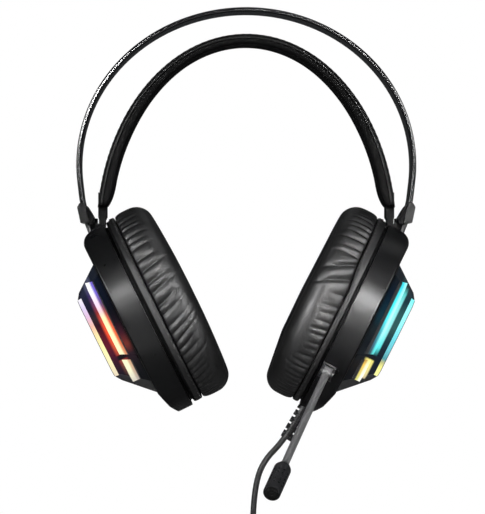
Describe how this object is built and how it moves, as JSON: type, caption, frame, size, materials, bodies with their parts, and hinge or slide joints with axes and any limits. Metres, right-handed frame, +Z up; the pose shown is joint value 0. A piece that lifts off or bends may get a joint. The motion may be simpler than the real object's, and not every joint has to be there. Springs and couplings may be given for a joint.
{
  "type": "gaming headset",
  "caption": "Over-ear gaming headset with a slim spring headband, self-adjusting strap, tilting lit ear cups, swivelling boom microphone and a USB cable.",
  "frame": {"origin": "middle of the underside of the headband's crown, where a hook or hanger holds it", "axes": "+Z up, -Y towards the wearer's front, +X towards the wearer's left, the side of the microphone"},
  "size_m": [0.1692, 0.1872, 0.3777],
  "materials": {
    "beam_gloss": "gloss",
    "wire_steel": "satin, dark",
    "yoke_satin": "satin",
    "yoke_black": "smooth black",
    "elastic_tape": "woven",
    "leatherette": "fine grain",
    "padded_leatherette": "leatherette over foam",
    "housing_satin": "satin",
    "cover_smoked": "gloss, smoked",
    "light_left": "diffusing",
    "light_right": "diffusing",
    "board_green": "solder mask",
    "baffle_black": "matte",
    "screw_steel": "plated",
    "driver_steel": "satin",
    "cone_film": "film",
    "speaker_cloth": "mesh",
    "boom_rubber": "matte",
    "mic_black": "satin",
    "mic_foam": "foam",
    "cable_rubber": "matte",
    "plug_black": "satin",
    "plug_steel": "plated",
    "control_black": "satin"
  },
  "bodies": {
    "head": {"head_beam": "beam_gloss", "spring_wires": "wire_steel", "left_yoke": "yoke_black", "right_yoke": "yoke_black", "left_collar": "yoke_satin", "right_collar": "yoke_satin", "left_strap_elastic": "elastic_tape", "right_strap_elastic": "elastic_tape"},
    "strap": {"strap_band": "leatherette", "strap_cushion": "padded_leatherette", "left_strap_end": "control_black", "right_strap_end": "control_black"},
    "left_cup": {"left_housing": "housing_satin", "left_outer_cover": "cover_smoked", "left_led_board": "board_green", "left_driver_baffle": "baffle_black", "left_baffle_screws": "screw_steel", "left_driver": "driver_steel", "left_diaphragm": "cone_film", "left_speaker_cloth": "speaker_cloth", "left_pad_ring": "baffle_black", "left_cushion_skirt": "leatherette", "left_ear_cushion": "padded_leatherette", "left_light_guide_front": "light_left", "left_light_guide_rear": "light_left", "left_tilt_pin": "screw_steel", "sound_board": "board_green", "mic_mount": "housing_satin", "mic_pin": "screw_steel", "strain_relief": "cable_rubber", "usb_cable": "cable_rubber", "cable_coil": "cable_rubber", "cable_tie": "elastic_tape", "usb_plug_grip": "plug_black", "usb_plug_shell": "plug_steel", "usb_plug_tongue": "control_black"},
    "right_cup": {"right_housing": "housing_satin", "right_outer_cover": "cover_smoked", "right_led_board": "board_green", "right_driver_baffle": "baffle_black", "right_baffle_screws": "screw_steel", "right_driver": "driver_steel", "right_diaphragm": "cone_film", "right_speaker_cloth": "speaker_cloth", "right_pad_ring": "baffle_black", "right_cushion_skirt": "leatherette", "right_ear_cushion": "padded_leatherette", "right_light_guide_front": "light_right", "right_light_guide_rear": "light_right", "right_tilt_pin": "screw_steel"},
    "mic_arm": {"mic_boom": "boom_rubber", "mic_capsule": "mic_black", "mic_element": "driver_steel", "mic_windscreen": "mic_foam"},
    "volume_wheel_body": {"volume_wheel": "control_black"},
    "mute_button_body": {"mute_button": "control_black"}
  },
  "joints": [
    {"name": "strap_lift", "type": "slide", "parent": "head", "child": "strap", "axis": [0, 0, 1], "range_m": [0, 0.008], "stiffness_N_per_m": 250, "springref_m": -0.004, "deforming": ["left_strap_elastic", "right_strap_elastic"]},
    {"name": "left_cup_tilt", "type": "hinge", "parent": "head", "child": "left_cup", "pos_m": [0.07174, 0, -0.11754], "axis": [0, -1, 0], "range_deg": [-2, 10]},
    {"name": "right_cup_tilt", "type": "hinge", "parent": "head", "child": "right_cup", "pos_m": [-0.07174, 0, -0.11754], "axis": [0, 1, 0], "range_deg": [-2, 10]},
    {"name": "mic_pivot", "type": "hinge", "parent": "left_cup", "child": "mic_arm", "pos_m": [0.03901, -0.0412, -0.17889], "axis": [-0.8961, 0, 0.4439], "range_deg": [-30, 100]},
    {"name": "volume_turn", "type": "hinge", "parent": "left_cup", "child": "volume_wheel_body", "pos_m": [0.04644, 0.03508, -0.16974], "axis": [0.8961, 0, -0.4439], "range_deg": [-140, 140]},
    {"name": "mute_press", "type": "slide", "parent": "left_cup", "child": "mute_button_body", "axis": [0, -1, 0], "range_m": [0, 0.001], "stiffness_N_per_m": 600, "springref_m": -0.001}
  ]
}
